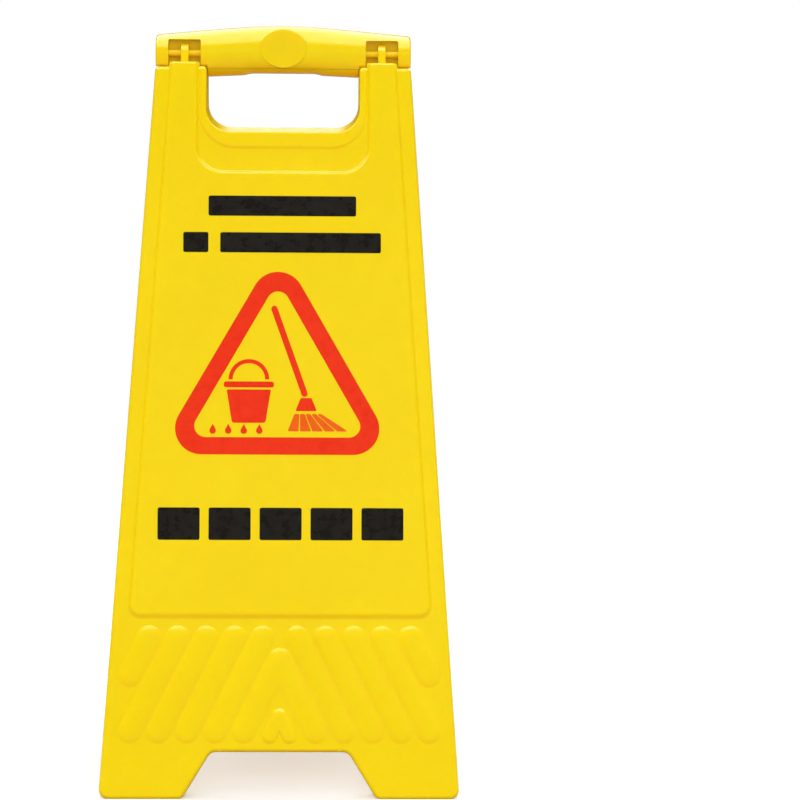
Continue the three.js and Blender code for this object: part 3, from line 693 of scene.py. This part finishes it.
def lower_cover():
    return combine(
        grip_form("lower_cover", GRIP_HALF_LENGTH, 0, 1.2),
        ("DIFFERENCE", grip_form("cover_cavity", CAVITY_HALF_LENGTH, HANDLE_WALL, 1)),
        ("DIFFERENCE", slab("above", PARTING - PARTING_GAP, FAR)),
        ("UNION", cover_lip()),
        ("UNION", rods_at_screws("posts", COUNTERBORE_RADIUS + 0.5, SCREW_SEAT - 1, PARTING - 0.3)),
        ("DIFFERENCE", rods_at_screws("holes", SCREW_HOLE_RADIUS, -FAR, FAR)),
        ("DIFFERENCE", rods_at_screws("seats", COUNTERBORE_RADIUS, -FAR, SCREW_SEAT)),
    )


def turned(profile, steps):
    """A lathed skin about the z axis from (radius, z) points, flat where it ends off the axis."""
    angles = np.linspace(0, 2 * math.pi, steps, endpoint=False)
    circle = np.stack((np.cos(angles), np.sin(angles)), 1)
    return loft([np.insert(radius * circle, 2, z, 1) for radius, z in profile])


def hinge_pin():
    """A moulded pin: chamfered ends, the outer one dimpled where it was gated."""
    length = (pin_high.x - pin_low.x) / MM
    radius = (pin_high.y - pin_low.y) / 2 / MM
    profile = [(radius - 0.7, 0), (radius - 0.15, 0.35), (radius, 0.8), (radius, length - 0.8),
               (radius - 0.15, length - 0.35), (radius - 0.7, length), (1.4, length), (1.1, length - 0.35)]
    pin = solid("hinge_pin", turned(profile, 48))
    pin.data.transform(Matrix.Translation((pin_low.x / MM, 0, 0)) @ Matrix.Rotation(math.pi / 2, 4, "Y"))
    return pin


def cover_screw():
    """A pan-headed screw, point up, with a cross recess and a coarse thread."""
    seat = SCREW_SEAT - 0.1  # the flat side of the head
    profile = [(0.5, seat - 2.0), (1.8, seat - 1.94), (2.7, seat - 1.6), (3.25, seat - 1.0),
               (3.4, seat - 0.4), (3.3, seat), (1.45, seat)]
    thread_end, pitch = -5.6, 1.1
    for crest in np.arange(seat + 0.8, thread_end, pitch):
        profile += [(1.15, crest - 0.45), (1.5, crest)]
    profile += [(1.1, -5.2), (0.15, -3.6)]
    slots = [solid("slot", box_skin((-a, -b, seat - 3), (a, b, seat - 0.9), 0.2))
             for a, b in ((1.7, 0.35), (0.35, 1.7))]
    return combine(solid("screw", turned(profile, 40)), *(("DIFFERENCE", slot) for slot in slots))


# ---- Materials ----
def srgb(red, green, blue):
    """A linear colour from 0 to 255 display values."""
    linear = [((c / 255 + 0.055) / 1.055) ** 2.4 if c > 10 else c / 255 / 12.92 for c in (red, green, blue)]
    return (*linear, 1)


class Nodes:
    """A small helper for building a material's nodes. An input named atN is a node's input number N."""

    def __init__(self, name):
        self.material = bpy.data.materials.new(name)
        self.material.use_nodes = True
        self.tree = self.material.node_tree
        self.shader = self.tree.nodes["Principled BSDF"]
        self.place = self.add("ShaderNodeTexCoord").outputs["Object"]

    def add(self, kind, settings=None, **inputs):
        made = self.tree.nodes.new(kind)
        for key, value in (settings or {}).items():
            setattr(made, key, value)
        for key, value in inputs.items():
            socket = int(key[2:]) if key.startswith("at") else key.replace("_", " ")
            self.feed(made.inputs[socket], value)
        return made

    def feed(self, socket, value):
        if isinstance(value, bpy.types.NodeSocket):
            self.tree.links.new(value, socket)
        else:
            socket.default_value = value

    def noise(self, scale, detail, roughness, stretch=None):
        place = self.place
        if stretch:
            place = self.add("ShaderNodeMapping", Vector=place, Scale=stretch).outputs[0]
        made = self.add("ShaderNodeTexNoise", Vector=place, Scale=scale, Detail=detail, Roughness=roughness)
        return made.outputs[0]

    def remap(self, value, low, high, to_low, to_high):
        made = self.add("ShaderNodeMapRange", Value=value, From_Min=low, From_Max=high,
                        To_Min=to_low, To_Max=to_high)
        return made.outputs[0]

    def mix(self, factor, first, second):
        return self.add("ShaderNodeMix", {"data_type": "RGBA"}, at0=factor, at6=first, at7=second).outputs[2]

    def multiply(self, first, second):
        return self.add("ShaderNodeMath", {"operation": "MULTIPLY"}, at0=first, at1=second).outputs[0]

    def bump(self, height, distance, normal, strength):
        made = self.add("ShaderNodeBump", Strength=strength, Distance=distance, Height=height, Normal=normal)
        return made.outputs[0]

    def soft_edges(self, radius):
        return self.add("ShaderNodeBevel", {"samples": 4}, Radius=radius).outputs[0]

    def finish(self, **inputs):
        for key, value in inputs.items():
            self.feed(self.shader.inputs[key.replace("_", " ")], value)
        return self.material


def moulded_plastic():
    """Yellow polypropylene: satin, finely textured, a little uneven from the mould and lightly scuffed, with
    painted shade on its undersides and a painted highlight on its edges.
    """
    n = Nodes("moulded_yellow_plastic")
    grain = n.noise(1500, 3, 0.6)
    flow = n.noise(60, 3, 0.5)
    sink = n.noise(11, 2, 0.4)
    scuffs = n.noise(55, 5, 0.65, (1, 1, 9))
    scuffed = n.remap(scuffs, 0.62, 0.72, 0, 1)
    colour = n.mix(n.remap(sink, 0.3, 0.7, 0, 1), srgb(251, 217, 6), srgb(248, 213, 3))
    colour = n.mix(n.remap(flow, 0.35, 0.65, 0, 0.3), colour, srgb(246, 208, 2))
    # Painted shade: surfaces that face downwards are mixed towards a darker, deeper orange, standing in for
    # the shade under things.
    geometry = n.add("ShaderNodeNewGeometry").outputs
    upward = n.add("ShaderNodeSeparateXYZ", Vector=geometry["Normal"]).outputs["Z"]
    painted_underside_shade = n.remap(upward, 0.05, -0.75, 0, 0.8)
    colour = n.mix(painted_underside_shade, colour, srgb(244, 180, 0))
    # Painted highlight: convex edges, found by pointiness, are mixed towards a pale yellow as if catching the
    # light.
    edges = n.remap(geometry["Pointiness"], 0.52, 0.6, 0, 0.3)
    colour = n.mix(edges, colour, srgb(255, 228, 60))
    colour = n.mix(n.multiply(scuffed, 0.03), colour, srgb(255, 236, 120))
    normal = n.bump(sink, 0.004, n.soft_edges(0.0005), 0.16)
    normal = n.bump(flow, 0.0006, normal, 0.25)
    normal = n.bump(grain, 0.00006, normal, 0.5)
    rough = n.remap(flow, 0.3, 0.7, 0.2, 0.25)
    rough = n.add("ShaderNodeMath", {"operation": "ADD"}, at0=rough, at1=n.multiply(scuffed, 0.05)).outputs[0]
    return n.finish(Base_Color=colour, Roughness=rough, Normal=normal, Specular_IOR_Level=0.35,
                    Subsurface_Weight=0.35, Subsurface_Radius=(1, 0.5, 0.05), Subsurface_Scale=0.005)


def printed_ink(name, colour, deep):
    """Screen ink that keeps the plastic's texture: a little uneven in cover, and duller than the face."""
    n = Nodes(name)
    grain = n.noise(1500, 3, 0.6)
    cover = n.noise(130, 4, 0.6)
    tint = n.mix(n.remap(cover, 0.35, 0.7, 0, 1), srgb(*colour), srgb(*deep))
    normal = n.bump(grain, 0.00006, n.soft_edges(0.0003), 0.4)
    return n.finish(Base_Color=tint, Roughness=n.remap(cover, 0.3, 0.7, 0.24, 0.34), Normal=normal,
                    Specular_IOR_Level=0.16)


def zinc_steel():
    """Bright zinc plate, slightly blotched."""
    n = Nodes("zinc_plated_steel")
    blotch = n.noise(900, 3, 0.6)
    tint = n.mix(n.remap(blotch, 0.35, 0.65, 0, 1), srgb(200, 201, 203), srgb(170, 171, 168))
    return n.finish(Base_Color=tint, Metallic=1.0, Roughness=n.remap(blotch, 0.3, 0.7, 0.22, 0.42),
                    Normal=n.bump(blotch, 0.00005, n.soft_edges(0.0002), 0.4))


MATERIALS = {
    "yellow_plastic": moulded_plastic(),
    "red_film": printed_ink("red_ink", (238, 50, 8), (228, 40, 6)),
    "orange_film": printed_ink("orange_ink", (240, 100, 12), (232, 86, 8)),
    "black_film": printed_ink("black_ink", (24, 21, 18), (34, 31, 26)),
    "screw_steel": zinc_steel(),
}


# ---- Assembly ----
SHARP_ANGLE = math.radians(33)


def dress(piece, name, matrix, body, node, slot):
    """Puts a finished piece in place, shades it, parents it to its CAD body, and hides the CAD node it stands
    for.
    """
    piece.data.transform(matrix)
    piece.name = piece.data.name = name
    piece.data.materials.clear()
    piece.data.materials.append(MATERIALS[slot])
    piece.data.shade_smooth()
    piece.data.set_sharp_from_angle(angle=SHARP_ANGLE)
    weighted = piece.modifiers.new("weighted_normals", "WEIGHTED_NORMAL")
    weighted.keep_sharp = True
    weighted.weight = 100
    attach(piece, body)
    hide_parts(node)


def twin(piece):
    copy = piece.copy()
    copy.data = piece.data.copy()
    bpy.context.scene.collection.objects.link(copy)
    return copy


TO_HANDLE = Matrix.Translation((0, 0, HINGE.z)) @ Matrix.Scale(MM, 4)
TO_FRONT = (Matrix.Translation(HINGE) @ Matrix.Rotation(-OPEN_ANGLE, 4, "X") @ Matrix.Scale(MM, 4)
            @ Matrix.Translation((0, -FACE_OUT, -HINGE_UP)))
HALF_TURN = Matrix.Rotation(math.pi, 4, "Z")
PANELS = (("front", TO_FRONT), ("rear", HALF_TURN @ TO_FRONT))


def build_panels():
    first = panel_mesh()
    shapes = prints()
    for side, matrix in PANELS:
        body = f"{side}_panel"
        dress(twin(first), f"{side}_moulded_panel", matrix, body, body, "yellow_plastic")
        for node, skins, slot in shapes:
            dress(solid(node, *skins), f"{side}_printed_{node}", matrix, body, f"{side}_{node}", slot)
    bpy.data.objects.remove(first)


def build_handle():
    dress(upper_shell(), "grip_shell", TO_HANDLE, "handle", "handle_upper_shell", "yellow_plastic")
    dress(lower_cover(), "grip_cover", TO_HANDLE, "handle", "handle_lower_cover", "yellow_plastic")
    for end, end_name in ((1, "right"), (-1, "left")):
        turn = HALF_TURN if end < 0 else Matrix.Identity(4)
        dress(cover_screw(), f"grip_screw_{end_name}", TO_HANDLE @ Matrix.Translation((end * SCREW_X, 0, 0)),
              "handle", f"cover_screw_{end_name}", "screw_steel")
        for side, side_name in ((-1, "front"), (1, "rear")):
            dress(hinge_pin(), f"moulded_pin_{side_name}_{end_name}",
                  TO_HANDLE @ Matrix.Translation((0, side * HINGE_OUT, 0)) @ turn,
                  "handle", f"hinge_pin_{side_name}_{end_name}", "yellow_plastic")


build_panels()
build_handle()


# ---- Stage ----
BACKGROUND = 1.0  # brightness of the white that the floor fades into
FLOOR_REACH = 12
FLOOR_FADE = (0.5, 2.2)  # distances from the middle


def pale_floor():
    """A plain pale floor that fades into the white background away from the sign."""
    mesh = bpy.data.meshes.new("floor")
    corners = [(FLOOR_REACH * x, FLOOR_REACH * y, 0) for x, y in ((-1, -1), (1, -1), (1, 1), (-1, 1))]
    mesh.from_pydata(corners, [], [(0, 1, 2, 3)])
    floor = bpy.data.objects.new("floor", mesh)
    bpy.context.scene.collection.objects.link(floor)
    n = Nodes("pale_floor")
    distance = n.add("ShaderNodeVectorMath", {"operation": "LENGTH"}, at0=n.place).outputs["Value"]
    fade = n.remap(distance, *FLOOR_FADE, 0, 1)
    grain = n.noise(300, 3, 0.5)
    seen = n.add("ShaderNodeLightPath").outputs["Is Camera Ray"]
    tone = n.mix(seen, srgb(150, 150, 150), n.mix(grain, srgb(234, 234, 233), srgb(238, 238, 237)))
    n.finish(Base_Color=tone, Roughness=0.7, Specular_IOR_Level=0.2, Emission_Color=(1, 1, 1, 1),
             Emission_Strength=n.multiply(seen, 0.25))
    glow = n.add("ShaderNodeEmission", Color=(1, 1, 1, 1), Strength=n.remap(seen, 0, 1, 0.25, BACKGROUND))
    blend = n.add("ShaderNodeMixShader", at0=fade, at1=n.shader.outputs[0], at2=glow.outputs[0])
    n.tree.links.new(blend.outputs[0], n.tree.nodes["Material Output"].inputs["Surface"])
    mesh.materials.append(n.material)


def white_world(towards, diffuse, glossy):
    """White to the camera; to everything else a dim room with a large soft light overhead, leaning one way.

    diffuse and glossy are (room, light, where the light's edge starts, where it ends), one for matt surfaces
    and one for what shiny surfaces reflect.
    """
    world = bpy.data.worlds.new("studio")
    world.use_nodes = True
    bpy.context.scene.world = world
    tree = world.node_tree

    def add(kind, **settings):
        made = tree.nodes.new(kind)
        for setting, value in settings.items():
            setattr(made, setting, value)
        return made

    path = add("ShaderNodeLightPath")
    facing = add("ShaderNodeVectorMath", operation="DOT_PRODUCT")
    facing.inputs[1].default_value = Vector(towards).normalized()
    tree.links.new(add("ShaderNodeTexCoord").outputs["Generated"], facing.inputs[0])
    strengths = []
    for room, light, start, end in (diffuse, glossy):
        made = add("ShaderNodeMapRange", interpolation_type="SMOOTHSTEP")
        for socket, value in zip(list(made.inputs)[1:5], (start, end, room, light)):
            socket.default_value = value
        tree.links.new(facing.outputs["Value"], made.inputs["Value"])
        strengths.append(made.outputs[0])
    lighting, choice = add("ShaderNodeMix"), add("ShaderNodeMix")
    choice.inputs["B"].default_value = BACKGROUND
    for source, target in ((path.outputs["Is Glossy Ray"], lighting.inputs["Factor"]),
                           (strengths[0], lighting.inputs["A"]), (strengths[1], lighting.inputs["B"]),
                           (path.outputs["Is Camera Ray"], choice.inputs["Factor"]),
                           (lighting.outputs["Result"], choice.inputs["A"]),
                           (choice.outputs["Result"], tree.nodes["Background"].inputs["Strength"])):
        tree.links.new(source, target)
    tree.nodes["Background"].inputs["Color"].default_value = (1, 1, 1, 1)


def soft_light(name, place, target, size, power):
    """A soft box for matt surfaces only: what shiny ones reflect is the world."""
    data = bpy.data.lights.new(name, "AREA")
    data.shape = "RECTANGLE"
    data.size, data.size_y = size
    data.energy = power
    light = bpy.data.objects.new(name, data)
    bpy.context.scene.collection.objects.link(light)
    light.location = place
    light.visible_glossy = False
    light.rotation_euler = (Vector(target) - Vector(place)).to_track_quat("-Z", "Y").to_euler()


def camera():
    """At the reference viewing angle: nearly square on, a little above, with the sign left of the middle."""
    azimuth, elevation, roll = (math.radians(degrees) for degrees in (0.5, 8, 0.54))
    distance, aim_right, aim_down = 2.6, 0.1021, 0.004
    right = Vector((math.cos(azimuth), math.sin(azimuth), 0))
    back = Vector((right.y * math.cos(elevation), -right.x * math.cos(elevation), math.sin(elevation)))
    middle = Vector((0, 0, (cad_bounds[0].z + cad_bounds[1].z) / 2))
    data = bpy.data.cameras.new("camera")
    data.lens = 135
    eye = bpy.data.objects.new("camera", data)
    bpy.context.scene.collection.objects.link(eye)
    eye.location = middle + back * distance
    aim = middle + right * aim_right + right.cross(back) * aim_down
    turn = Matrix.Rotation(roll, 3, "Z").to_quaternion()
    eye.rotation_euler = ((aim - eye.location).to_track_quat("-Z", "Y") @ turn).to_euler()
    bpy.context.scene.camera = eye


pale_floor()
white_world((-0.08, 0.1, 1), (0.32, 1.03, 0.35, 0.85), (0.05, 5.8, 0.52, 0.66))
soft_light("front", (0.1, -2.4, 0.95), (0, 0, 0.35), (1.0, 1.0), 22)
soft_light("front_left", (-1.9, -2.3, 1.0), (0, 0, 0.4), (1.6, 1.6), 14)
soft_light("front_right", (1.9, -2.3, 1.0), (0, 0, 0.4), (1.6, 1.6), 13)
soft_light("left", (-2.6, 0.4, 1.1), (0, 0, 0.35), (1.4, 1.4), 12)
soft_light("right", (2.6, 0.4, 1.1), (0, 0, 0.35), (1.4, 1.4), 12)
soft_light("high_back", (0.2, 1.5, 1.9), (0, 0, 0.55), (1.6, 0.8), 17)
camera()
bpy.context.scene.view_settings.view_transform = "Standard"
